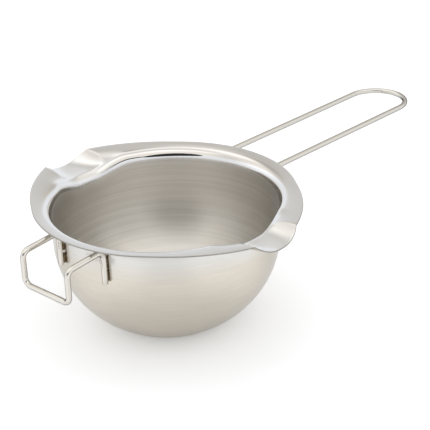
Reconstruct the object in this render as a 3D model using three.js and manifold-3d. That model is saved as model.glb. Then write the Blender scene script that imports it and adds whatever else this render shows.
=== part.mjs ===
// A melting bowl that hangs in a saucepan of hot water: a drawn steel bowl with a flange and two pouring
// spouts, a long wire handle, a wire hook for the pan's rim, and the weld nuggets that hold both wires.
// Millimetres, +Z up. The origin is the centre of the flat base's underside, +X runs along the handle,
// and the spouts point along +Y and -Y.

import * as THREE from 'three';
import { mergeVertices } from 'three/addons/utils/BufferGeometryUtils.js';
import Module from 'manifold-3d';

const wasm = await Module();
wasm.setup();

const degrees = Math.PI / 180;

// Bowl, all sizes on its outer face unless they say otherwise
const SHEET = 0.7;               // thickness of the drawn sheet
const BODY_RADIUS = 60.5;        // straight wall
const BODY_DEPTH = 55.8;         // half height of the ellipse that the round body follows
const BASE_RADIUS = 25;          // flat that the bowl stands on
const WALL_HEIGHT = 21;          // top of the round body to the top of the rim
const SHOULDER_RADIUS = 5;       // bend between the wall and the underside of the flange
const FLANGE_WIDTH = 9.5;        // wall to the rim, away from the spouts
const FLANGE_RISE = 7 * degrees; // slope of the flange, upwards to the rim

// Spouts, two alike
const SPOUT_WIDTH = 30.8;        // between the two corners of the lip
const CORNER_OVERHANG = 9.1;     // lip corners beyond the rim's own circle
const LIP_OVERHANG = 11;         // middle of the lip beyond the rim's own circle
const FLARE_ANGLE = 52 * degrees; // from a spout's axis to where the rim starts to swing out
const LIP_DROP = 5.8;            // depth of the channel at the lip
const NECK_DROP = 4.8;           // depth of the channel where it leaves the wall
const NECK_FLOOR = 10;           // width of the channel's flat floor there
const NECK_WIDTH = 56;           // width that the channel's flanks reach there

// Powers of the spouts' curves, without a unit
const BOW_POWER = 4;             // a higher power keeps the lip's bow flat further towards its corners
const FLARE_POWER = 1.4;         // a higher power lets the rim swing out later, nearer the lip's corner
const TROUGH_POWER = 5.5;        // a higher power makes the channel squarer next to the neck
const LIP_POWER = 2.3;           // a higher power makes the channel squarer at the lip
const NECK_POWER = 3;            // a higher power narrows the channel sooner after the neck

// Wires
const WIRE = 3;                  // diameter of both wires
const FLANGE_GAP = 0.8;          // between the wires and the flange above them, at the shoulder
const LEG_LENGTH = 18.6;         // wire centre under the flange down to the cut end on the wall
const LEG_BEND = 4;              // bend from a leg into its arm, at the wire's centre
const LEG_FLAT = 0.6;            // depth of the flat pressed on a leg for welding
const HANDLE_LENGTH = 139;       // wall to the end of the handle
const HANDLE_WIDTH = 38;         // over both wires
const HANDLE_FALL = 0.8 * degrees; // slope of the handle, downwards to its end
const HOOK_LENGTH = 25.3;        // wall to the outside of the hook
const HOOK_WIDTH = 36;           // over both wires
const HOOK_FALL = 3.5 * degrees; // slope of the hook's arms, downwards to their bends
const HOOK_DROP = 18;            // arms down to the cross bar, at the wire's centre
const HOOK_BEND = 4;             // the hook's own bends, at the wire's centre

// Welds, two on each leg
const WELD_COUNT = 2;
const WELD_WIDTH = 1.8;          // round the bowl
const WELD_HEIGHT = 6.2;         // along the leg
const WELD_THICKNESS = 0.5;      // from the wall to the leg
const WELD_GAP = 0.3;            // left between a nugget and each face that it joins

// Fineness of the facets
const BOWL_SEGMENTS = 80;        // round the bowl, a multiple of four
const SPOUT_SEGMENTS = 5;        // of these, from a spout's axis to a corner of its lip
const BODY_STEPS = 10;
const SHOULDER_STEPS = 5;
const FLANGE_STEPS = 4;
const WIRE_SIDES = 12;
const BEND_ANGLE = 15 * degrees; // turn between two stations of a wire's bend
const WELD_SIDES = 16;

// Places that follow from the sizes above
const bodyTop = BODY_DEPTH * Math.sqrt(1 - (BASE_RADIUS / BODY_RADIUS) ** 2);
const rimHeight = bodyTop + WALL_HEIGHT;
const rimRadius = BODY_RADIUS + FLANGE_WIDTH;
const shoulderCentre = BODY_RADIUS + SHOULDER_RADIUS;
const shoulderEnd = shoulderCentre - SHOULDER_RADIUS * Math.sin(FLANGE_RISE);
const underShoulder = rimHeight - SHEET - (rimRadius - shoulderEnd) * Math.tan(FLANGE_RISE);
const shoulderHeight = underShoulder - SHOULDER_RADIUS * Math.cos(FLANGE_RISE);
const cornerRadius = rimRadius + CORNER_OVERHANG;
const cornerAngle = Math.asin(SPOUT_WIDTH / 2 / cornerRadius);
const armHeight = underShoulder - FLANGE_GAP - WIRE / 2;
const legFlatRadius = BODY_RADIUS + WELD_THICKNESS + 2 * WELD_GAP;
const legRadius = legFlatRadius + WIRE / 2 - LEG_FLAT;
const legEnd = armHeight - LEG_LENGTH;
const legFlatLength = LEG_LENGTH - LEG_BEND;

const bowlSteel = new THREE.MeshStandardMaterial({ color: 0xc9c6c0, roughness: 0.3, metalness: 1 });
const wireSteel = new THREE.MeshStandardMaterial({ color: 0xbdb7ad, roughness: 0.2, metalness: 1 });
const weldSteel = new THREE.MeshStandardMaterial({ color: 0x6f6559, roughness: 0.45, metalness: 1 });

// Rises smoothly from 0 to 1 as t goes from 0 to 1, and stays level outside
function smooth(t) {
  const s = Math.min(Math.max(t, 0), 1);
  return s * s * (3 - 2 * s);
}

function between(start, end, share) {
  return start + (end - start) * share;
}

// Radius of the rim at an angle from the nearest spout's axis: the rim's own circle, a flare that swings out
// to the lip's corner, and the lip, which bows out between its two corners
function rimAt(angle) {
  const away = Math.abs(angle);
  if (away <= cornerAngle) {
    return rimRadius + between(LIP_OVERHANG, CORNER_OVERHANG, (away / cornerAngle) ** BOW_POWER);
  }
  const flare = Math.max((FLARE_ANGLE - away) / (FLARE_ANGLE - cornerAngle), 0);
  return rimRadius + CORNER_OVERHANG * flare ** FLARE_POWER;
}

// Depth of the spout's channel at a distance to the side of its axis. out is 0 at the neck and 1 at the lip.
// A wide soft dip at the neck soon gives way to a trough with crisp crests, which grows rounder to the lip.
function channelDepth(side, out) {
  const away = Math.abs(side);
  const power = between(TROUGH_POWER, LIP_POWER, out);
  const trough = LIP_DROP * Math.max(1 - (2 * away / SPOUT_WIDTH) ** power, 0);
  const dip = NECK_DROP * smooth((NECK_WIDTH / 2 - away) / (NECK_WIDTH / 2 - NECK_FLOOR / 2));
  return between(trough, dip, (1 - out) ** NECK_POWER);
}

// Section of one face of the sheet, from the axis to the rim. inset is the face's depth below the outer face.
// Points from the shoulder on carry pressed = 1, and out runs from 0 to 1 across the flange.
function sheetFace(inset) {
  const across = BODY_RADIUS - inset;
  const deep = BODY_DEPTH - inset;
  const lowest = Math.asin((bodyTop - inset) / deep);
  const bend = SHOULDER_RADIUS + inset;
  const points = [{ r: 0, z: inset, pressed: 0, out: 0 }];
  for (let i = BODY_STEPS; i >= 0; i -= 1) {
    const dip = lowest * i / BODY_STEPS;
    points.push({ r: across * Math.cos(dip), z: bodyTop - deep * Math.sin(dip), pressed: 0, out: 0 });
  }
  for (let i = 0; i <= SHOULDER_STEPS; i += 1) {
    const turn = (Math.PI / 2 - FLANGE_RISE) * i / SHOULDER_STEPS;
    const r = shoulderCentre - bend * Math.cos(turn);
    points.push({ r, z: shoulderHeight + bend * Math.sin(turn), pressed: 1, out: 0 });
  }
  const start = points.at(-1);
  for (let i = 1; i <= FLANGE_STEPS; i += 1) {
    const out = i / FLANGE_STEPS;
    const z = between(start.z, rimHeight - SHEET + inset, out);
    points.push({ r: between(start.r, rimRadius, out), z, pressed: 1, out });
  }
  return points;
}

// The bowl is turned from its section, with its segments gathered towards the spouts so that one of them ends
// on each corner of a lip, and its flange is then flared and pressed down into the two spouts
function bowlGeometry() {
  const section = [...sheetFace(0), ...sheetFace(SHEET).reverse()];
  const outline = section.map((point) => new THREE.Vector2(point.r, point.z));
  const geometry = new THREE.LatheGeometry(outline, BOWL_SEGMENTS);
  const cornerTurn = 2 * Math.PI * SPOUT_SEGMENTS / BOWL_SEGMENTS;
  const gather = (cornerTurn - cornerAngle) / Math.sin(2 * cornerTurn);
  const position = geometry.attributes.position;
  for (let i = 0; i < position.count; i += 1) {
    const even = 2 * Math.PI * Math.floor(i / section.length) / BOWL_SEGMENTS;
    const turn = even - gather * Math.sin(2 * even);
    const fromSpout = turn - Math.PI * Math.round(turn / Math.PI);
    const { r, z, pressed, out } = section[i % section.length];
    const radius = r + out * (rimAt(fromSpout) - rimRadius);
    const depth = pressed * channelDepth(radius * Math.sin(fromSpout), out);
    position.setXYZ(i, radius * Math.sin(turn), -radius * Math.cos(turn), z - depth);
  }
  geometry.computeVertexNormals();
  return geometry;
}

// A wire's route as a list of stations: the ends of its straights, and one every few degrees in its bends
class WireRoute extends THREE.Curve {
  constructor(corners) {
    super();
    this.stations = [];
    const last = corners.length - 1;
    const heading = corners.slice(1).map((corner, i) => corner.at.clone().sub(corners[i].at).normalize());
    this.add(corners[0].at, heading[0]);
    for (let i = 1; i < last; i += 1) {
      this.addBend(corners[i], heading[i - 1], heading[i]);
    }
    this.add(corners[last].at, heading[last - 1]);
  }

  add(point, tangent) {
    this.stations.push({ point, tangent });
  }

  addBend({ at, bend }, before, after) {
    const angle = before.angleTo(after);
    const steps = Math.ceil(angle / BEND_ANGLE);
    const start = at.clone().addScaledVector(before, -bend * Math.tan(angle / 2));
    const inward = after.clone().addScaledVector(before, -before.dot(after)).normalize();
    for (let i = 0; i <= steps; i += 1) {
      const turn = angle * i / steps;
      const point = start.clone().addScaledVector(before, bend * Math.sin(turn));
      point.addScaledVector(inward, bend * (1 - Math.cos(turn)));
      const tangent = before.clone().multiplyScalar(Math.cos(turn));
      this.add(point, tangent.addScaledVector(inward, Math.sin(turn)));
    }
  }

  station(share) {
    return this.stations[Math.round(share * (this.stations.length - 1))];
  }

  getPointAt(share, target = new THREE.Vector3()) {
    return target.copy(this.station(share).point);
  }

  getTangentAt(share, target = new THREE.Vector3()) {
    return target.copy(this.station(share).tangent);
  }
}

function wireGeometry(corners) {
  const route = new WireRoute(corners);
  const round = new THREE.Shape().absarc(0, 0, WIRE / 2, 0, 2 * Math.PI);
  return new THREE.ExtrudeGeometry(round, {
    extrudePath: route,
    steps: route.stations.length - 1,
    curveSegments: WIRE_SIDES / 2,
  });
}

function solidFrom(geometry) {
  const bare = geometry.clone();
  bare.deleteAttribute('normal');
  bare.deleteAttribute('uv');
  const merged = mergeVertices(bare);
  const vertProperties = new Float32Array(merged.attributes.position.array);
  const triVerts = new Uint32Array(merged.index.array);
  return new wasm.Manifold(new wasm.Mesh({ numProp: 3, vertProperties, triVerts }));
}

function geometryFrom(solid) {
  const { vertProperties, triVerts } = solid.getMesh();
  const geometry = new THREE.BufferGeometry();
  geometry.setAttribute('position', new THREE.BufferAttribute(vertProperties, 3));
  geometry.setIndex(new THREE.BufferAttribute(triVerts, 1));
  geometry.computeVertexNormals();
  return geometry;
}

// The flat that is pressed on a leg, as the block to cut away. angle is the leg's place round the bowl.
function legFlat(angle) {
  const block = new THREE.BoxGeometry(WIRE, 2 * WIRE, 2 * legFlatLength);
  block.translate(legFlatRadius - WIRE / 2, 0, legEnd);
  return solidFrom(block.rotateZ(angle));
}

// A wire that starts and ends on the wall, with its legs flattened where they are welded
function weldedWire(name, corners, angles) {
  const round = solidFrom(wireGeometry(corners));
  const flattened = angles.reduce((solid, angle) => solid.subtract(legFlat(angle)), round);
  const mesh = new THREE.Mesh(geometryFrom(flattened), wireSteel.clone());
  mesh.name = name;
  return mesh;
}

// Corners of a wire: up one leg, out along its arm through the given middle corners, and back down the
// other leg. side is half the distance between the wire's centres, and ahead is 1 towards +X and -1
// towards -X.
function wireCorners(side, ahead, middle) {
  const x = ahead * Math.sqrt(legRadius ** 2 - side ** 2);
  const half = (y) => [
    { at: new THREE.Vector3(x, y, legEnd) },
    { at: new THREE.Vector3(x, y, armHeight), bend: LEG_BEND },
    ...middle.map((corner) => ({ at: new THREE.Vector3(ahead * corner.x, y, corner.z), bend: corner.bend })),
  ];
  return [...half(side), ...half(-side).reverse()];
}

function armDrop(side, x, fall) {
  return armHeight - (x - Math.sqrt(legRadius ** 2 - side ** 2)) * Math.tan(fall);
}

// Long handle: a flat U whose end is a half circle
const handleSide = (HANDLE_WIDTH - WIRE) / 2;
const handleEnd = BODY_RADIUS + HANDLE_LENGTH - WIRE / 2;
const handleAngle = Math.asin(handleSide / legRadius);
const handleMiddle = [{ x: handleEnd, z: armDrop(handleSide, handleEnd, HANDLE_FALL), bend: handleSide }];

// Hook: two arms, two drops and a cross bar
const hookSide = (HOOK_WIDTH - WIRE) / 2;
const hookEnd = BODY_RADIUS + HOOK_LENGTH - WIRE / 2;
const hookAngle = Math.asin(hookSide / legRadius);
const hookArmEnd = armDrop(hookSide, hookEnd, HOOK_FALL);
const hookMiddle = [
  { x: hookEnd, z: hookArmEnd, bend: HOOK_BEND },
  { x: hookEnd, z: hookArmEnd - HOOK_DROP, bend: HOOK_BEND },
];

// An oval nugget between the wall and a leg's flat
function weldNugget(name, angle, height) {
  const oval = new THREE.Shape().absellipse(0, 0, WELD_WIDTH / 2, WELD_HEIGHT / 2, 0, 2 * Math.PI);
  const geometry = new THREE.ExtrudeGeometry(oval, {
    depth: WELD_THICKNESS,
    bevelEnabled: false,
    curveSegments: WELD_SIDES / 2,
  });
  geometry.rotateX(Math.PI / 2);
  geometry.rotateZ(Math.PI / 2);
  const mesh = new THREE.Mesh(geometry, weldSteel.clone());
  mesh.name = name;
  const radius = BODY_RADIUS + WELD_GAP;
  mesh.position.set(radius * Math.cos(angle), radius * Math.sin(angle), height);
  mesh.rotation.z = angle;
  return mesh;
}

const meltingBowl = new THREE.Group();

const bowl = new THREE.Mesh(bowlGeometry(), bowlSteel);
bowl.name = 'bowl';
meltingBowl.add(bowl);

const handleAngles = { left: handleAngle, right: -handleAngle };
const hookAngles = { left: Math.PI - hookAngle, right: Math.PI + hookAngle };
const handleCorners = wireCorners(handleSide, 1, handleMiddle);
const hookCorners = wireCorners(hookSide, -1, hookMiddle);
meltingBowl.add(weldedWire('handle_wire', handleCorners, Object.values(handleAngles)));
meltingBowl.add(weldedWire('hook_wire', hookCorners, Object.values(hookAngles)));

for (const [wire, angles] of Object.entries({ handle: handleAngles, hook: hookAngles })) {
  for (const [leg, angle] of Object.entries(angles)) {
    for (let i = 0; i < WELD_COUNT; i += 1) {
      const height = legEnd + legFlatLength * (i + 0.5) / WELD_COUNT;
      meltingBowl.add(weldNugget(`weld_${wire}_${leg}_${i + 1}`, angle, height));
    }
  }
}

export default meltingBowl;
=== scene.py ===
"""A steel melting bowl with two pouring spouts, a long wire handle and a wire hook for a saucepan's rim.

Metres, +Z up, in the frame of the solids: the origin is the centre of the flat base's underside, +X runs
along the handle, and the spouts point along +Y and -Y.
"""

from math import asin, atan2, cos, pi, radians, sin, sqrt, tan

import bpy
import numpy as np
from mathutils import Matrix, Vector


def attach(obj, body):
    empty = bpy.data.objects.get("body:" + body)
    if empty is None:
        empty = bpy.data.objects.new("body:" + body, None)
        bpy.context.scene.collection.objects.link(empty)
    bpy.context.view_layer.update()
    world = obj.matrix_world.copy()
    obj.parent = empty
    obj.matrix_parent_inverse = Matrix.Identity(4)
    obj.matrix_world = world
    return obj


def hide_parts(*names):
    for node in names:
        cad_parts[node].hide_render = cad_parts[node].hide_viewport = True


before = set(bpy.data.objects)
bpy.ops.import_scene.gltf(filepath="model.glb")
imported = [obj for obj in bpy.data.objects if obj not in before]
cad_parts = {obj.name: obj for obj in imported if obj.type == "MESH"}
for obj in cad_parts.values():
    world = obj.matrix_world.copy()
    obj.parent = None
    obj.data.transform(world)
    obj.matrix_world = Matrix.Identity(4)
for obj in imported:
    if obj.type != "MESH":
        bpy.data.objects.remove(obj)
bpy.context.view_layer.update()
scene = bpy.context.scene

MM = 0.001

# Bowl, all sizes on its outer face unless they say otherwise
SHEET = 0.7 * MM                 # thickness of the drawn sheet
BODY_RADIUS = 60.5 * MM          # straight wall
BODY_DEPTH = 55.8 * MM           # half height of the ellipse that the round body follows
BASE_RADIUS = 25 * MM            # flat that the bowl stands on
BASE_BEND = 0.6 * MM             # how softly the flat turns into the round body
WALL_HEIGHT = 21 * MM            # top of the round body to the top of the rim
SHOULDER_RADIUS = 5 * MM         # bend between the wall and the underside of the flange
SHOULDER_SLIM = 0.85             # the bend's width as a share of its radius
SHOULDER_TALL = 1.3              # the bend's height as a share of its radius
FLANGE_WIDTH = 9.5 * MM          # wall to the rim, away from the spouts
FLANGE_RISE = radians(7)         # mean slope of the flange, upwards to the rim
SHOULDER_SLOPE = radians(16)     # its slope where it leaves the shoulder
RIM_SLOPE = radians(5)           # its slope where it meets the rim
SWEEP_POWER = 1.5                # a higher power keeps the steeper part nearer the shoulder

# Spouts, two alike
SPOUT_WIDTH = 30.8 * MM          # between the two corners of the lip
CORNER_OVERHANG = 9.1 * MM       # lip corners beyond the rim's own circle
LIP_OVERHANG = 11 * MM           # middle of the lip beyond the rim's own circle
FLARE_ANGLE = radians(52)        # from a spout's axis to where the rim starts to swing out
LIP_DROP = 5.8 * MM              # depth of the channel at the lip
NECK_DROP = 4.8 * MM             # depth of the channel where it leaves the wall
NECK_FLOOR = 10 * MM             # width of the channel's flat floor there
NECK_WIDTH = 56 * MM             # width that the channel's flanks reach there
BOW_POWER = 4                    # a higher power keeps the lip's bow flat further towards its corners
FLARE_POWER = 1.4                # a higher power lets the rim swing out later, nearer the lip's corner
TROUGH_POWER = 5.5               # a higher power makes the channel squarer next to the neck
LIP_POWER = 2.3                  # a higher power makes the channel squarer at the lip
NECK_POWER = 3                   # a higher power narrows the channel sooner after the neck

# Wires
WIRE_RADIUS = 1.5 * MM
FLANGE_GAP = 0.8 * MM            # between the wires and the flange above them, at the shoulder
LEG_LENGTH = 18.6 * MM           # wire centre under the flange down to the cut end on the wall
LEG_BEND = 4 * MM                # bend from a leg into its arm, at the wire's centre
LEG_FLAT = 0.6 * MM              # depth of the flat pressed on a leg for welding
CUT_CROWN = 0.6 * MM             # height of the rounded cut end of a wire
HANDLE_LENGTH = 139 * MM         # wall to the end of the handle
HANDLE_WIDTH = 38 * MM           # over both wires
HANDLE_FALL = radians(0.8)       # slope of the handle, downwards to its end
HOOK_LENGTH = 25.3 * MM          # wall to the outside of the hook
HOOK_WIDTH = 36 * MM             # over both wires
HOOK_FALL = radians(3.5)         # slope of the hook's arms, downwards to their bends
HOOK_DROP = 18 * MM              # arms down to the cross bar, at the wire's centre
HOOK_BEND = 4 * MM               # the hook's own bends, at the wire's centre

# Welds, two on each leg
WELD_COUNT = 2
WELD_WIDTH = 1.8 * MM            # round the bowl
WELD_HEIGHT = 6.2 * MM           # along the leg
WELD_DEPTH = 1.1 * MM            # from the wall to a leg's flat
WELD_FLARE = 0.25                # how much wider a nugget is at its two faces than at its waist
WELD_SPREAD = 0.7 * MM           # height that the melted metal adds to a nugget
WELD_SINK = 0.04 * MM            # how far a nugget is fused into the wall and into the leg

# Reach of the finishes, and of the light and shade painted on the bowl
POLISH_START = -0.5 * MM         # over the foot of the shoulder's bend
POLISH_FADE = 2 * MM             # height over which the polish starts
WALL_FADE = 17 * MM              # height below the shoulder over which a painted reflection makes the outside whiter
FLANGE_FADE = 0.25               # share of the flange over which the bright shoulder turns into the flange
REST_WEAR = 4 * MM               # width of the worn ring on the base
LEG_SHADE_WIDTH = 2.4 * MM            # half width of the strip of painted shade behind a leg
LEG_SHADE_FADE = 1.2 * MM             # distance over which that strip fades

# Fineness of the surfaces
CORNER_SHARE = 16                # one column in this many ends on each corner of a lip
BOWL_COLUMNS = 24 * CORNER_SHARE
BODY_ROWS = 54
WALL_ROWS = 14
SHOULDER_ROWS = 14
FLANGE_ROWS = 16
EDGE_ROWS = 7
WIRE_COLUMNS = 28
BEND_STEP = radians(4)           # turn between two rings of a wire's bend
RUN_STEP = 3 * MM                # distance between two rings of a wire's straight
SHORTEST_RUN = 1e-7              # straights shorter than this are left out
CROWN_ROWS = 5
WELD_COLUMNS = 32
WELD_ROWS = 9

# Parts of the noise's range, which lies about 0.5, that the finishes make use of
WIDE_SPAN = (0.3, 0.7)
NARROW_SPAN = (0.35, 0.65)
UPPER_SPAN = (0.5, 0.75)

# Bowl's finish and the light and shade painted on it: lines as length and width, roughness from low to high,
# tones as red, green and blue
FINE_LINES = (80 * MM, 0.8 * MM)
BROAD_LINES = (150 * MM, 2.4 * MM)
STREAKS = (16 * MM, 0.75 * MM)
SMEARS = 45.0                    # in a metre
OUTSIDE_ROUGH = (0.19, 0.22)
INSIDE_ROUGH = (0.34, 0.41)
FLANGE_ROUGH = (0.27, 0.3)
POLISHED_ROUGH = 0.05
EDGE_ROUGH = 0.35
WEAR_ROUGH = 0.15                # added on the worn ring
BRUSHED = 0.5                    # how far the lines draw out what the steel mirrors
BRUSHED_TURN = 0.25              # turns from the direction of the lines to that of the drawing out
BODY_TONES = ((0.648, 0.602, 0.527), (0.683, 0.634, 0.555))
# Painted reflection: whiter, cooler tones up the wall, for the bright floor far in front that the wall
# mirrors
WALL_REFLECTION_TONES = ((0.688, 0.673, 0.644), (0.712, 0.697, 0.666))
INSIDE_TONES = ((0.655, 0.63, 0.59), (0.735, 0.71, 0.67))
POLISHED_TONE = (0.735, 0.712, 0.685)
FLANGE_TONE = (0.69, 0.666, 0.638)
# Painted highlight: a lighter tone in the spouts' channels, for the bright reflections on their flanks
SPOUT_HIGHLIGHT_TONE = (0.82, 0.805, 0.785)
# Painted shade: the cut edge is coloured dark to draw the thin shadow line under the rim; its dullness is its
# own
EDGE_SHADE_TONE = (0.34, 0.325, 0.30)
# Painted shade: dark brown behind each leg, for the dark gap between the leg and the wall as the wall mirrors
# it
LEG_SHADE_TONE = (0.24, 0.175, 0.105)

# Wires' finish
WIRE_LINES = (24, 60, 1)         # changes in a turn round the wire and in a metre along it
WIRE_ROUGH = (0.1, 0.17)
WIRE_TONES = ((0.68, 0.645, 0.585), (0.78, 0.75, 0.70))
WIRE_EDGE_TONE = (0.12, 0.1, 0.08)  # seen at a glancing angle
WIRE_GROOVE = 0.02 * MM          # depth of the drawn lines
WIRE_RELIEF = 0.1                # how much of that depth shows
DULL_PLACES = 70.0               # in a metre
DULL_ROUGH = (0.0, 0.08)         # added in the dull places

# Welds' finish
BEADS = 1800.0                   # in a metre
BEAD_DEPTH = 0.1 * MM
BEAD_RELIEF = 0.5                # how much of that depth shows
WELD_ROUGH = (0.35, 0.6)
STAINS = 500.0                   # in a metre
# Partly the welds' own brown stain, partly painted shade: darkened to stand for the dark gap between leg and
# wall
WELD_STAIN_AND_SHADE_TONES = ((0.09, 0.065, 0.04), (0.26, 0.19, 0.11))

# Camera
CAMERA_PLACE = (-0.48896, -0.51418, 0.40601)
CAMERA_AZIMUTH = radians(-45.65)
CAMERA_ELEVATION = radians(26.12)
CAMERA_ROLL = radians(-2.74)
CAMERA_LENS = 124.95             # millimetres on a sensor 36 wide
CAMERA_NEAR = 10 * MM            # nearest thing that it sees

# Floor and the light on it
FLOOR_HALF = 4.0
FLOOR_TONE = (0.92, 0.928, 0.94)
FLOOR_LIGHT = 0.95               # even light from all round
CAMERA_LIFT = 0.25               # added where the camera sees the floor, so that it is white
FRONT_LIFT = 0.10                # added where the steel mirrors the floor in front of the bowl
SIDE_LIFT = 0.14                 # added to that where the floor lies to the sides
SIDE_SPAN = (20 * MM, 90 * MM)   # distance from the camera's line over which the sides start
FRONT_SPAN = (-50 * MM, 40 * MM)  # along that line, from before to behind the bowl's axis, where both fade

# Lamp over the bowl
LAMP_PLACE = (0.2, 0.3, 1.8)
LAMP_SIZE = 1.5
LAMP_POWER = 2.0

# The studio's walls and ceiling: sine of the height, and the light from there
WALL_STOPS = (
    (0.0, (1.0, 1.05, 1.12)),
    (0.31, (1.0, 1.05, 1.12)),
    (0.45, (0.70, 0.685, 0.655)),
    (0.64, (0.57, 0.555, 0.525)),
    (1.0, (0.85, 0.85, 0.85)),
)

# Oval patches of them: degrees round from the camera to the right, degrees up, half width and half height
# in degrees, the share of those that is even, and how many times the walls' light the patch has
PATCHES = {
    "overhead box": (180, 61, 50, 31, 0.25, 1.55),
    "box behind the camera": (0, 50, 68, 36, 0.6, 1.8),
    "right box": (90, 44, 40, 34, 0.4, 1.5),
    "left box": (-110, 42, 50, 46, 0.2, 1.75),
    "dim wall behind": (193, 39, 28, 10, 0.3, 0.82),
    "bright strip behind": (180, 24, 36, 10, 0.4, 1.08),
    "dark gap over the camera": (-9, 25, 30, 11.5, 0.9, 0.03),
    "narrow end of that gap": (40, 26, 30, 6, 0.5, 0.12),
}

# Places that follow from the sizes above
BODY_TOP = BODY_DEPTH * sqrt(1 - (BASE_RADIUS / BODY_RADIUS) ** 2)
RIM_HEIGHT = BODY_TOP + WALL_HEIGHT
RIM_RADIUS = BODY_RADIUS + FLANGE_WIDTH
SHOULDER_END = BODY_RADIUS + SHOULDER_RADIUS - SHOULDER_RADIUS * sin(FLANGE_RISE)
UNDER_SHOULDER = RIM_HEIGHT - SHEET - (RIM_RADIUS - SHOULDER_END) * tan(FLANGE_RISE)
SHOULDER_HEIGHT = UNDER_SHOULDER - SHOULDER_RADIUS * cos(FLANGE_RISE)
CORNER_ANGLE = asin(SPOUT_WIDTH / 2 / (RIM_RADIUS + CORNER_OVERHANG))
ARM_HEIGHT = UNDER_SHOULDER - FLANGE_GAP - WIRE_RADIUS
LEG_FLAT_RADIUS = BODY_RADIUS + WELD_DEPTH
LEG_RADIUS = LEG_FLAT_RADIUS + WIRE_RADIUS - LEG_FLAT
LEG_END = ARM_HEIGHT - LEG_LENGTH
LEG_FLAT_LENGTH = LEG_LENGTH - LEG_BEND
HANDLE_SIDE = HANDLE_WIDTH / 2 - WIRE_RADIUS
HOOK_SIDE = HOOK_WIDTH / 2 - WIRE_RADIUS


def smooth(t):
    """Rises from 0 to 1 as t goes from 0 to 1, level at both ends: three t squared less two t cubed."""
    s = np.clip(t, 0, 1)
    return s * s * (3 - 2 * s)


def between(start, end, share):
    """The value a share of the way from start to end."""
    return start + (end - start) * share


# Meshes

def round_skin(name, points, along):
    """A closed skin from a grid of points. Columns go round the piece and meet, rows go along it, and the
    first and the last row are each one point. The map holds the share of a turn and the distance along."""
    rows, columns = points.shape[:2]
    inner = (rows - 2) * columns
    place = np.zeros((rows, columns), int)
    place[1:-1] = 1 + np.arange(inner).reshape(rows - 2, columns)
    place[-1] = inner + 1
    vertices = np.vstack([points[0, :1], points[1:-1].reshape(-1, 3), points[-1, :1]])

    ahead = np.roll(place, -1, axis=1)
    quads = np.stack([place[:-1], ahead[:-1], ahead[1:], place[1:]], axis=-1)
    turn = np.broadcast_to(np.arange(columns)[:, None] + np.array([0, 1, 1, 0]), quads.shape) / columns
    reach = np.stack([along[:-1], along[:-1], along[1:], along[1:]], axis=-1)
    reach = np.broadcast_to(reach[:, None, :], quads.shape)
    bands = (slice(1, -1), [0, 1, 2, 3]), (0, [0, 2, 3]), (-1, [0, 1, 2])
    faces = []
    chart = []
    for band, corners in bands:
        faces += quads[band][..., corners].reshape(-1, len(corners)).tolist()
        chart.append(np.stack([turn[band], reach[band]], axis=-1)[..., corners, :].reshape(-1, 2))

    mesh = bpy.data.meshes.new(name)
    mesh.from_pydata(vertices.tolist(), [], faces, shade_flat=False)
    layer = mesh.uv_layers.new(name="wrap")
    layer.uv.foreach_set("vector", np.concatenate(chart).ravel())
    return mesh


def set_mark(mesh, name, grid):
    """Stores one number for each point of the grid that the mesh was made from."""
    values = np.concatenate([grid[0, :1], grid[1:-1].ravel(), grid[-1, :1]])
    stored = mesh.attributes.new(name, "FLOAT", "POINT")
    stored.data.foreach_set("value", values.astype(np.float32))


def add_piece(name, mesh, material, node):
    """Puts a finished mesh in the scene in place of a node of the same steel."""
    piece = bpy.data.objects.new(name, mesh)
    scene.collection.objects.link(piece)
    mesh.materials.append(material)
    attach(piece, "root")
    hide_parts(node)


# Bowl

def rim_at(angle):
    """Radius of the rim at an angle from the nearest spout's axis: the rim's own circle, a flare that swings
    out to the lip's corner as a power of the angle, and a lip that bows out between its two corners."""
    away = np.abs(angle)
    lip = between(LIP_OVERHANG, CORNER_OVERHANG, (away / CORNER_ANGLE) ** BOW_POWER)
    swing = np.clip((FLARE_ANGLE - away) / (FLARE_ANGLE - CORNER_ANGLE), 0, 1)
    return RIM_RADIUS + np.where(away <= CORNER_ANGLE, lip, CORNER_OVERHANG * swing ** FLARE_POWER)


def channel_depth(side, out):
    """Depth of a spout's channel at a distance to the side of its axis. It is a wide soft dip with a flat
    floor at the neck, which soon gives way to a trough with crisp crests: one less a power of the distance.
    out is 0 at the neck and 1 at the lip, and the trough grows rounder towards the lip."""
    away = np.abs(side)
    power = between(TROUGH_POWER, LIP_POWER, out)
    trough = LIP_DROP * np.clip(1 - (2 * away / SPOUT_WIDTH) ** power, 0, 1)
    dip = NECK_DROP * smooth((NECK_WIDTH / 2 - away) / (NECK_WIDTH / 2 - NECK_FLOOR / 2))
    return between(trough, dip, (1 - out) ** NECK_POWER)


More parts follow.
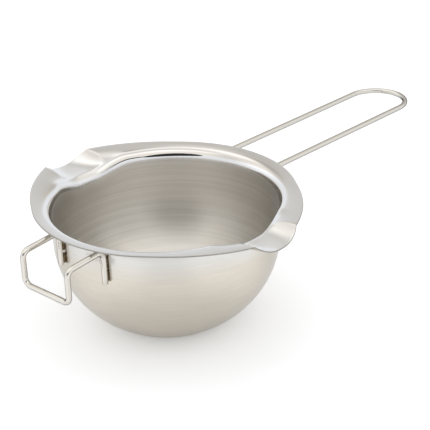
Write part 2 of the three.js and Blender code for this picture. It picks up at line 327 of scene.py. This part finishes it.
def sheet_face(inset):
    """Section of one face of the sheet from the axis to the rim, as rows of radius, height, pressed and out.
    An ellipse runs into a flat through a soft bend, half of h plus the root of h squared and the bend
    squared, where h is the ellipse's height over the flat. A straight wall and part of a tall oval follow.
    Across the flange the slope eases from the shoulder's to the rim's, by a power of the width that is left.
    pressed grows to 1 up the wall, and out goes from 0 to 1 across the flange."""
    dip = np.linspace(pi / 2, 0, BODY_ROWS)
    over_flat = BODY_TOP - inset - (BODY_DEPTH - inset) * np.sin(dip)
    body_r = (BODY_RADIUS - inset) * np.cos(dip)
    body_z = inset + (over_flat + np.hypot(over_flat, BASE_BEND)) / 2

    wide = SHOULDER_RADIUS * SHOULDER_SLIM + inset
    tall = SHOULDER_RADIUS * SHOULDER_TALL + inset
    turn = np.linspace(0, atan2(tall, wide * tan(SHOULDER_SLOPE)), SHOULDER_ROWS)[1:]
    shoulder_r = BODY_RADIUS - inset + wide * (1 - np.cos(turn))

    out = np.linspace(0, 1, FLANGE_ROWS)[1:]
    flange_r = between(shoulder_r[-1], RIM_RADIUS - SHEET / 2, out)
    width = flange_r[-1] - shoulder_r[-1]
    extra = (tan(SHOULDER_SLOPE) - tan(RIM_SLOPE)) / (SWEEP_POWER + 1)
    rim_z = RIM_HEIGHT - SHEET + inset
    flange_z = rim_z - width * (tan(RIM_SLOPE) * (1 - out) + extra * (1 - out) ** (SWEEP_POWER + 1))

    wall_top = rim_z - width * (tan(RIM_SLOPE) + extra) - tall * np.sin(turn[-1])
    shoulder_z = wall_top + tall * np.sin(turn)
    rise = np.linspace(0, 1, WALL_ROWS)[1:]
    wall_z = between(body_z[-1], wall_top, rise)
    return np.array([
        np.concatenate([body_r, np.full_like(rise, body_r[-1]), shoulder_r, flange_r]),
        np.concatenate([body_z, wall_z, shoulder_z, flange_z]),
        np.concatenate([np.zeros_like(dip), rise, np.ones_like(turn), np.ones_like(out)]),
        np.concatenate([np.zeros_like(dip), np.zeros_like(rise), np.zeros_like(turn), out]),
    ])


def cut_edge():
    """The rim's edge: half a circle as wide as the sheet is thick, from the underside to the top."""
    turn = np.linspace(-pi / 2, pi / 2, EDGE_ROWS + 2)[1:-1]
    r = RIM_RADIUS - SHEET / 2 + SHEET / 2 * np.cos(turn)
    z = RIM_HEIGHT - SHEET / 2 + SHEET / 2 * np.sin(turn)
    return np.array([r, z, np.ones_like(r), np.ones_like(r)])


def bowl_turns():
    """Angles of the columns from -Y, gathered towards the spouts by a sine of twice the angle, so that a
    column ends on each corner of a lip."""
    even = 2 * pi * np.arange(BOWL_COLUMNS) / BOWL_COLUMNS
    corner = 2 * pi / CORNER_SHARE
    return even - (corner - CORNER_ANGLE) / sin(2 * corner) * np.sin(2 * even)


def leg_angles():
    """Angle round the bowl of each leg, by the leg's name."""
    handle = asin(HANDLE_SIDE / LEG_RADIUS)
    hook = asin(HOOK_SIDE / LEG_RADIUS)
    return {"handle_left": handle, "handle_right": -handle, "hook_left": pi - hook, "hook_right": pi + hook}


def shade_behind_legs(points):
    """How strongly the bowl is painted with the shade behind each leg: a strip as long as the leg, whose
    sides and ends fade."""
    x, y, z = np.moveaxis(points, -1, 0)
    beside_leg = smooth((z - LEG_END) / LEG_SHADE_FADE) * smooth((ARM_HEIGHT - z) / LEG_SHADE_FADE)
    heat = np.zeros_like(x)
    for angle in leg_angles().values():
        aside = y * cos(angle) - x * sin(angle)
        facing = x * cos(angle) + y * sin(angle) > 0
        heat += facing * smooth((LEG_SHADE_WIDTH - np.abs(aside)) / LEG_SHADE_FADE) * beside_leg
    return heat


def make_bowl(material):
    """The section is turned about the axis. Across the flange the radius swells by out times the flare, and
    from the wall up the height falls by pressed times the depth of the spout's channel."""
    outside = sheet_face(0)
    inside = sheet_face(SHEET)[:, ::-1]
    section = np.concatenate([outside, cut_edge(), inside], axis=1)
    r, z, pressed, out = section[:, :, None]
    turn = bowl_turns()[None, :]
    from_spout = turn - pi * np.round(turn / pi)
    radius = r + out * (rim_at(from_spout) - RIM_RADIUS)
    channel = channel_depth(radius * np.sin(from_spout), out)
    points = np.stack([radius * np.sin(turn), -radius * np.cos(turn), z - pressed * channel], axis=-1)
    along = np.concatenate([[0], np.cumsum(np.hypot(*np.diff(section[:2], axis=1)))])
    mesh = round_skin("bowl", points, along)

    row = np.arange(section.shape[1])[:, None]
    inside_rows = row >= outside.shape[1] + EDGE_ROWS
    edge_rows = (row >= outside.shape[1]) & ~inside_rows
    polished = inside_rows * smooth((z - SHOULDER_HEIGHT - POLISH_START) / POLISH_FADE)
    spout = polished * smooth(channel / NECK_DROP)
    marks = {
        "along": along[:, None],
        "inside": inside_rows,
        "polished": polished,
        "spout": spout,
        "flange": np.maximum(polished * smooth(out / FLANGE_FADE), spout),
        "cut_edge": edge_rows,
        "rest_wear": np.exp(-((r - BASE_RADIUS + REST_WEAR) / REST_WEAR) ** 2) * (z < SHEET / 2),
        # painted reflection: the outside grows whiter up the wall
        "wall_reflection": smooth((z - SHOULDER_HEIGHT + WALL_FADE) / WALL_FADE),
        # painted shade behind each leg
        "heat": shade_behind_legs(points) * ~inside_rows,
    }
    for name, values in marks.items():
        set_mark(mesh, name, np.broadcast_to(values, radius.shape))
    add_piece("drawn_bowl", mesh, material, "bowl")


# Wires

def wire_route(corners):
    """Rings along a wire through its corners: straight runs, and an arc of the given radius at each corner.
    Gives the rings' centres, their headings and a side direction that turns with each bend."""
    at = [np.array(corner[:3]) for corner in corners]
    headings = [(b - a) / np.linalg.norm(b - a) for a, b in zip(at, at[1:])]
    here = at[0]
    side = np.cross(headings[0], [1.0, 0, 0])
    centres, tangents, sides = [], [], []

    def run(end, heading):
        """Rings of a straight from here to its end, which is left out."""
        steps = max(int(np.linalg.norm(end - here) / RUN_STEP), 2)
        share = np.linspace(0, 1, steps, endpoint=False)[:, None]
        centres.append(between(here, end, share))
        tangents.append(np.broadcast_to(heading, (steps, 3)))
        sides.append(np.broadcast_to(side, (steps, 3)))

    for corner, point, before, after in zip(corners[1:-1], at[1:-1], headings, headings[1:]):
        bend = corner[3]
        angle = np.arccos(before @ after)
        inward = after - before * (before @ after)
        inward = inward / np.linalg.norm(inward)
        start = point - before * bend * tan(angle / 2)
        if np.linalg.norm(start - here) > SHORTEST_RUN:
            run(start, before)
        turn = np.linspace(0, angle, int(np.ceil(angle / BEND_STEP)) + 1)[:-1, None]
        centres.append(start + bend * (np.sin(turn) * before + (1 - np.cos(turn)) * inward))
        tangents.append(np.cos(turn) * before + np.sin(turn) * inward)
        axis = np.cross(before, inward)
        swung = np.cross(axis, side)
        level = axis * (axis @ side)
        sides.append(level + (side - level) * np.cos(turn) + swung * np.sin(turn))
        here = point + after * bend * tan(angle / 2)
        side = level + (side - level) * cos(angle) + swung * sin(angle)
    run(at[-1], headings[-1])
    centres.append(at[-1][None])
    tangents.append(headings[-1][None])
    sides.append(side[None])
    return np.concatenate(centres), np.concatenate(tangents), np.concatenate(sides)


def leg_reach(side):
    """Distance along the handle's line from the bowl's axis to a leg that lies that far to the side."""
    return sqrt(LEG_RADIUS ** 2 - side ** 2)


def make_wire(name, corners, side, material, node):
    """A circle carried along the route, with both cut ends closed by a quarter of an ellipse. Along the legs
    each point is pushed out to the radius of the flat, so that the leg lies flat towards the wall."""
    centres, tangents, sides = wire_route(corners)
    crown = np.linspace(0, pi / 2, CROWN_ROWS, endpoint=False)[:, None]
    depth = CUT_CROWN * (1 - np.cos(crown))
    first = centres[0] + tangents[0] * depth
    last = centres[-1] - tangents[-1] * depth[::-1]
    centres[0] += tangents[0] * CUT_CROWN
    centres[-1] -= tangents[-1] * CUT_CROWN
    width = np.concatenate([np.sin(crown), np.ones((len(centres), 1)), np.sin(crown[::-1])]) * WIRE_RADIUS
    path = np.concatenate([first, centres, last])
    both_ends = ((CROWN_ROWS, CROWN_ROWS), (0, 0))
    tangents = np.pad(tangents, both_ends, "edge")
    sides = np.pad(sides, both_ends, "edge")

    angle = 2 * pi * np.arange(WIRE_COLUMNS)[None, :, None] / WIRE_COLUMNS
    across = np.cos(angle) * sides[:, None] + np.sin(angle) * np.cross(tangents, sides)[:, None]
    points = path[:, None] + width[:, :, None] * across

    ahead = np.full(len(path), np.sign(corners[0][0]) * leg_reach(side) / LEG_RADIUS)
    outwards = np.stack([ahead, np.sign(path[:, 1]) * side / LEG_RADIUS], axis=-1)
    near_wall = np.hypot(path[:, 0], path[:, 1]) < LEG_RADIUS + LEG_BEND
    on_leg = (path[:, 2] < ARM_HEIGHT) & near_wall
    reach = np.einsum("ijk,ik->ij", points[..., :2], outwards)
    push = np.clip(LEG_FLAT_RADIUS - reach, 0, None) * on_leg[:, None]
    points[..., :2] += push[..., None] * outwards[:, None]

    along = np.concatenate([[0], np.cumsum(np.linalg.norm(np.diff(path, axis=0), axis=1))])
    add_piece(name, round_skin(name, points, along), material, node)


def both_legs(side, ahead, middle):
    """Corners of a wire: up one leg, out along its arm through the middle corners, and down the other leg."""
    x = ahead * leg_reach(side)
    halves = []
    for y in (side, -side):
        halves.append([(x, y, LEG_END), (x, y, ARM_HEIGHT, LEG_BEND)])
        halves[-1] += [(ahead * reach, y, z, bend) for reach, z, bend in middle]
    return halves[0] + halves[1][::-1]


def arm_drop(side, reach, fall):
    """Height of an arm's centre at a distance out from the bowl's axis."""
    return ARM_HEIGHT - (reach - leg_reach(side)) * tan(fall)


def make_handle(material):
    """A long flat U, whose end is half a circle."""
    reach = BODY_RADIUS + HANDLE_LENGTH - WIRE_RADIUS
    middle = [(reach, arm_drop(HANDLE_SIDE, reach, HANDLE_FALL), HANDLE_SIDE)]
    make_wire("long_handle", both_legs(HANDLE_SIDE, 1, middle), HANDLE_SIDE, material, "handle_wire")


def make_hook(material):
    """Two arms, two drops and a cross bar."""
    reach = BODY_RADIUS + HOOK_LENGTH - WIRE_RADIUS
    arm_end = arm_drop(HOOK_SIDE, reach, HOOK_FALL)
    middle = [(reach, arm_end, HOOK_BEND), (reach, arm_end - HOOK_DROP, HOOK_BEND)]
    make_wire("pan_hook", both_legs(HOOK_SIDE, -1, middle), HOOK_SIDE, material, "hook_wire")


def make_weld(name, angle, height, material):
    """An oval button from the wall to a leg's flat. Its width is one at the waist and grows by the square of
    the distance from the waist, and both faces close to a point in their middle."""
    depth = np.linspace(-1, 1, WELD_ROWS)
    swell = (1 + WELD_FLARE * depth ** 2) / (1 + WELD_FLARE)
    swell = np.concatenate([[0], swell, [0]])[:, None]
    depth = np.concatenate([[-1], depth, [1]])[:, None]
    turn = 2 * pi * np.arange(WELD_COLUMNS)[None, :] / WELD_COLUMNS
    out = BODY_RADIUS + WELD_DEPTH / 2 + depth * (WELD_DEPTH / 2 + WELD_SINK)
    aside = swell * WELD_WIDTH / 2 * np.cos(turn)
    up = swell * (WELD_HEIGHT + WELD_SPREAD) / 2 * np.sin(turn)
    x = out * cos(angle) - aside * sin(angle)
    y = out * sin(angle) + aside * cos(angle)
    along = np.linspace(0, WELD_DEPTH, WELD_ROWS + 2)
    mesh = round_skin(name, np.stack([x, y, height + up], axis=-1), along)
    add_piece(f"{name}_nugget", mesh, material, name)


# Shader nodes

def add_node(tree, kind, inputs, **settings):
    """A shader node with its settings, and with each named input linked or set."""
    made = tree.nodes.new(kind)
    for key, value in settings.items():
        setattr(made, key, value)
    for key, value in inputs.items():
        if isinstance(value, bpy.types.NodeSocket):
            tree.links.new(value, made.inputs[key])
        else:
            made.inputs[key].default_value = value
    return made


def mark(tree, name):
    """A number stored on the piece's points."""
    return add_node(tree, "ShaderNodeAttribute", {}, attribute_name=name).outputs["Fac"]


def arithmetic(tree, operation, *values):
    """A sum, product or other operation on numbers."""
    return add_node(tree, "ShaderNodeMath", dict(enumerate(values)), operation=operation).outputs[0]


def vector_math(tree, operation, *vectors):
    """The outputs of an operation on vectors."""
    return add_node(tree, "ShaderNodeVectorMath", dict(enumerate(vectors)), operation=operation).outputs


def dot(tree, vector, axis):
    """How far a vector reaches along an axis."""
    return vector_math(tree, "DOT_PRODUCT", vector, tuple(axis))["Value"]


def scaled(tree, value, span, to=(0.0, 1.0)):
    """value carried smoothly from one range to another, and held inside the new one."""
    inputs = {"Value": value, "From Min": span[0], "From Max": span[1], "To Min": to[0], "To Max": to[1]}
    return add_node(tree, "ShaderNodeMapRange", inputs, interpolation_type="SMOOTHSTEP").outputs["Result"]


def noise(tree, vector, scale, detail=2.0):
    """Soft noise between 0 and 1."""
    inputs = {"Vector": vector, "Scale": scale, "Detail": detail}
    return add_node(tree, "ShaderNodeTexNoise", inputs).outputs["Fac"]


def blend(tree, share, low, high):
    """A number that goes from low to high with share."""
    return add_node(tree, "ShaderNodeMix", {0: share, 2: low, 3: high}).outputs[0]


def tint(tree, share, low, high):
    """A colour that goes from low to high with share."""
    low, high = [(*colour, 1) if isinstance(colour, tuple) else colour for colour in (low, high)]
    return add_node(tree, "ShaderNodeMix", {0: share, 6: low, 7: high}, data_type="RGBA").outputs[2]


def ray_kinds(tree):
    """1 for what the camera sees by itself, and 1 for what metal or glass shows."""
    ray = add_node(tree, "ShaderNodeLightPath", {}).outputs
    return ray["Is Camera Ray"], arithmetic(tree, "MAXIMUM", ray["Is Glossy Ray"], ray["Is Transmission Ray"])


# Finishes

def start_finish(name):
    """A new material with an empty tree, and that tree."""
    material = bpy.data.materials.new(name)
    material.use_nodes = True
    tree = material.node_tree
    tree.nodes.clear()
    return material, tree


def finish_steel(tree, colour, rough, **inputs):
    """The metal shader, with the given inputs, on the material's output."""
    inputs = {"Metallic": 1.0, "Base Color": colour, "Roughness": rough, **inputs}
    steel = add_node(tree, "ShaderNodeBsdfPrincipled", inputs)
    add_node(tree, "ShaderNodeOutputMaterial", {"Surface": steel.outputs["BSDF"]})


def bowl_finish():
    """Drawn steel with fine lines round the bowl: satin outside and painted whiter up the wall as a painted
    reflection, duller inside, polished on the shoulder, satin on the flange, painted lighter in the spouts'
    channels as a painted highlight, and dull on the cut edge, where it is painted dark as the shadow line
    under the rim. Behind each leg a painted brown shade stands for the dark gap between the leg and the wall."""
    material, tree = start_finish("bowl_steel")
    place = add_node(tree, "ShaderNodeTexCoord", {}).outputs["Object"]
    around = vector_math(tree, "NORMALIZE", vector_math(tree, "MULTIPLY", place, (1, 1, 0))[0])[0]
    around = add_node(tree, "ShaderNodeSeparateXYZ", {0: around}).outputs
    chart = {"X": around[0], "Y": around[1], "Z": mark(tree, "along")}
    chart = add_node(tree, "ShaderNodeCombineXYZ", chart).outputs[0]

    def lines(length, width):
        """Noise drawn out round the bowl, with lines of about the given length and width."""
        fineness = (BODY_RADIUS / length, BODY_RADIUS / length, 1 / width)
        return noise(tree, vector_math(tree, "MULTIPLY", chart, fineness)[0], 1.0)

    grain = arithmetic(tree, "ADD", lines(*FINE_LINES), lines(*BROAD_LINES))
    grain = arithmetic(tree, "DIVIDE", grain, 2.0)
    streaks = scaled(tree, lines(*STREAKS), WIDE_SPAN)
    smear = noise(tree, place, SMEARS)
    inside = mark(tree, "inside")
    polished = mark(tree, "polished")
    flange = mark(tree, "flange")
    edge = mark(tree, "cut_edge")

    rough = scaled(tree, grain, WIDE_SPAN, OUTSIDE_ROUGH)
    rough = blend(tree, inside, rough, scaled(tree, grain, NARROW_SPAN, INSIDE_ROUGH))
    rough = blend(tree, polished, rough, POLISHED_ROUGH)
    rough = blend(tree, flange, rough, scaled(tree, smear, WIDE_SPAN, FLANGE_ROUGH))
    rough = blend(tree, edge, rough, EDGE_ROUGH)
    wear = arithmetic(tree, "MULTIPLY", mark(tree, "rest_wear"), WEAR_ROUGH)
    rough = arithmetic(tree, "ADD", rough, wear)

    body = tint(tree, streaks, *BODY_TONES)
    wall = tint(tree, streaks, *WALL_REFLECTION_TONES)
    # painted reflection: whiter up the wall
    colour = tint(tree, mark(tree, "wall_reflection"), body, wall)
    colour = tint(tree, inside, colour, tint(tree, scaled(tree, grain, NARROW_SPAN), *INSIDE_TONES))
    colour = tint(tree, polished, colour, POLISHED_TONE)
    colour = tint(tree, flange, colour, FLANGE_TONE)
    # painted highlight: lighter in the spouts' channels
    colour = tint(tree, mark(tree, "spout"), colour, SPOUT_HIGHLIGHT_TONE)
    # painted shade: dark cut edge for the shadow line under the rim
    colour = tint(tree, edge, colour, EDGE_SHADE_TONE)
    # painted shade behind each leg
    colour = tint(tree, mark(tree, "heat"), colour, LEG_SHADE_TONE)

    tangent = add_node(tree, "ShaderNodeTangent", {}, direction_type="UV_MAP", uv_map="wrap").outputs[0]
    brushing = {"Anisotropic": BRUSHED, "Anisotropic Rotation": BRUSHED_TURN, "Tangent": tangent}
    finish_steel(tree, colour, rough, **brushing)
    return material


def wire_finish():
    """Polished drawn wire: fine lines along it, and a dull place here and there."""
    material, tree = start_finish("wire_steel")
    place = add_node(tree, "ShaderNodeTexCoord", {}).outputs
    chart = add_node(tree, "ShaderNodeMapping", {"Vector": place["UV"], "Scale": WIRE_LINES}).outputs[0]
    drawn = noise(tree, chart, 1.0)
    dull = scaled(tree, noise(tree, place["Object"], DULL_PLACES, detail=3.0), UPPER_SPAN, DULL_ROUGH)
    rough = arithmetic(tree, "ADD", scaled(tree, drawn, WIDE_SPAN, WIRE_ROUGH), dull)
    colour = tint(tree, drawn, *WIRE_TONES)
    grooves = {"Strength": WIRE_RELIEF, "Distance": WIRE_GROOVE, "Height": drawn}
    bump = add_node(tree, "ShaderNodeBump", grooves).outputs[0]
    finish_steel(tree, colour, rough, **{"Normal": bump, "Specular Tint": (*WIRE_EDGE_TONE, 1)})
    return material


def weld_finish():
    """Bare spot weld: uneven, stained brown by the welding, and painted darker still as a painted shade for
    the gap between leg and wall.
    """
    material, tree = start_finish("weld_steel")
    place = add_node(tree, "ShaderNodeTexCoord", {}).outputs["Object"]
    beads = noise(tree, place, BEADS, detail=3.0)
    colour = tint(tree, noise(tree, place, STAINS, detail=1.0), *WELD_STAIN_AND_SHADE_TONES)
    rough = scaled(tree, beads, WIDE_SPAN, WELD_ROUGH)
    relief = {"Strength": BEAD_RELIEF, "Distance": BEAD_DEPTH, "Height": beads}
    bump = add_node(tree, "ShaderNodeBump", relief).outputs[0]
    finish_steel(tree, colour, rough, **{"Normal": bump})
    return material


# Studio

def make_floor():
    """A wide pale floor that takes the bowl's shadow. Light is added where the camera sees it, and where the
    steel mirrors it in front of the bowl, more of it to the sides and none behind."""
    mesh = bpy.data.meshes.new("floor")
    half = FLOOR_HALF
    corners = [(-half, -half, 0), (half, -half, 0), (half, half, 0), (-half, half, 0)]
    mesh.from_pydata(corners, [], [(0, 1, 2, 3)])
    floor = bpy.data.objects.new("floor", mesh)
    scene.collection.objects.link(floor)
    material, tree = start_finish("pale_floor")
    mesh.materials.append(material)

    place = add_node(tree, "ShaderNodeTexCoord", {}).outputs["Object"]
    aside = dot(tree, place, (cos(CAMERA_AZIMUTH), sin(CAMERA_AZIMUTH), 0))
    aside = arithmetic(tree, "ABSOLUTE", aside)
    behind = dot(tree, place, (-sin(CAMERA_AZIMUTH), cos(CAMERA_AZIMUTH), 0))
    mirror_lift = scaled(tree, aside, SIDE_SPAN, (FRONT_LIFT, FRONT_LIFT + SIDE_LIFT))
    mirror_lift = arithmetic(tree, "MULTIPLY", mirror_lift, scaled(tree, behind, FRONT_SPAN, (1.0, 0.0)))
    by_camera, mirrored = ray_kinds(tree)
    lift = arithmetic(tree, "MULTIPLY", by_camera, CAMERA_LIFT)
    lift = arithmetic(tree, "ADD", lift, arithmetic(tree, "MULTIPLY", mirrored, mirror_lift))
    glow = add_node(tree, "ShaderNodeEmission", {"Strength": lift})
    matt = add_node(tree, "ShaderNodeBsdfDiffuse", {"Color": (*FLOOR_TONE, 1)})
    both = add_node(tree, "ShaderNodeAddShader", {0: matt.outputs[0], 1: glow.outputs[0]})
    add_node(tree, "ShaderNodeOutputMaterial", {"Surface": both.outputs[0]})


def patch_light(tree, way, around, height, wide, tall, even, level):
    """How many times the walls' light an oval patch has in a direction: its level on the even middle, and
    smoothly less to 1 at the edge. The direction is measured aside from the patch's middle and above it."""
    azimuth = CAMERA_AZIMUTH + radians(around)
    level_way = Vector((sin(azimuth), -cos(azimuth), 0))
    aim = level_way * cos(radians(height)) + Vector((0, 0, sin(radians(height))))
    aside = Vector((-level_way.y, level_way.x, 0)) / sin(radians(wide))
    above = aim.cross(aside).normalized() / sin(radians(tall))
    spread = {"X": dot(tree, way, aside), "Y": dot(tree, way, above)}
    spread = add_node(tree, "ShaderNodeCombineXYZ", spread).outputs[0]
    spread = vector_math(tree, "LENGTH", spread)["Value"]
    ahead = arithmetic(tree, "GREATER_THAN", dot(tree, way, aim), 0.0)
    share = arithmetic(tree, "MULTIPLY", scaled(tree, spread, (even, 1.0), (1.0, 0.0)), ahead)
    return blend(tree, share, 1.0, level)


def make_world():
    """Pale walls, bright near the floor, dimmer higher up and lighter overhead, times the light of each
    patch. The camera and the steel see them, and all else gets even white light."""
    world = bpy.data.worlds.new("studio")
    scene.world = world
    world.use_nodes = True
    tree = world.node_tree
    tree.nodes.clear()
    way = add_node(tree, "ShaderNodeTexCoord", {}).outputs["Generated"]
    up = add_node(tree, "ShaderNodeSeparateXYZ", {0: way}).outputs[2]
    walls = add_node(tree, "ShaderNodeValToRGB", {"Fac": up})
    stops = walls.color_ramp.elements
    while len(stops) < len(WALL_STOPS):
        stops.new(0.5)
    for stop, (position, tone) in zip(stops, WALL_STOPS):
        stop.position = position
        stop.color = (*tone, 1)
    level = 1.0
    for patch in PATCHES.values():
        level = arithmetic(tree, "MULTIPLY", level, patch_light(tree, way, *patch))
    seen = arithmetic(tree, "MAXIMUM", *ray_kinds(tree))
    strength = blend(tree, seen, FLOOR_LIGHT, level)
    colour = tint(tree, seen, (1.0, 1.0, 1.0), walls.outputs[0])
    light = add_node(tree, "ShaderNodeBackground", {"Color": colour, "Strength": strength})
    add_node(tree, "ShaderNodeOutputWorld", {"Surface": light.outputs[0]})


def make_lamp():
    """A square soft box that faces the bowl's base, and that the steel doesn't mirror."""
    lamp = bpy.data.lights.new("top_box", "AREA")
    lamp.size = LAMP_SIZE
    lamp.energy = LAMP_POWER
    holder = bpy.data.objects.new("top_box", lamp)
    holder.visible_glossy = False
    scene.collection.objects.link(holder)
    facing = (-Vector(LAMP_PLACE)).to_track_quat("-Z", "Y")
    holder.matrix_world = Matrix.Translation(LAMP_PLACE) @ facing.to_matrix().to_4x4()


def make_camera():
    """The camera at the photograph's viewing angle."""
    camera = bpy.data.objects.new("camera", bpy.data.cameras.new("camera"))
    camera.data.lens = CAMERA_LENS
    camera.data.clip_start = CAMERA_NEAR
    turn = Matrix.Rotation(CAMERA_AZIMUTH, 4, "Z")
    tilt = Matrix.Rotation(pi / 2 - CAMERA_ELEVATION, 4, "X")
    roll = Matrix.Rotation(CAMERA_ROLL, 4, "Z")
    camera.matrix_world = Matrix.Translation(CAMERA_PLACE) @ turn @ tilt @ roll
    scene.collection.objects.link(camera)
    scene.camera = camera


make_camera()
make_floor()
make_world()
make_lamp()
scene.view_settings.view_transform = "Standard"

make_bowl(bowl_finish())
wire_steel = wire_finish()
make_handle(wire_steel)
make_hook(wire_steel)
weld_steel = weld_finish()
for leg_name, leg_angle in leg_angles().items():
    for i in range(WELD_COUNT):
        weld_height = LEG_END + LEG_FLAT_LENGTH * (i + 0.5) / WELD_COUNT
        make_weld(f"weld_{leg_name}_{i + 1}", leg_angle, weld_height, weld_steel)
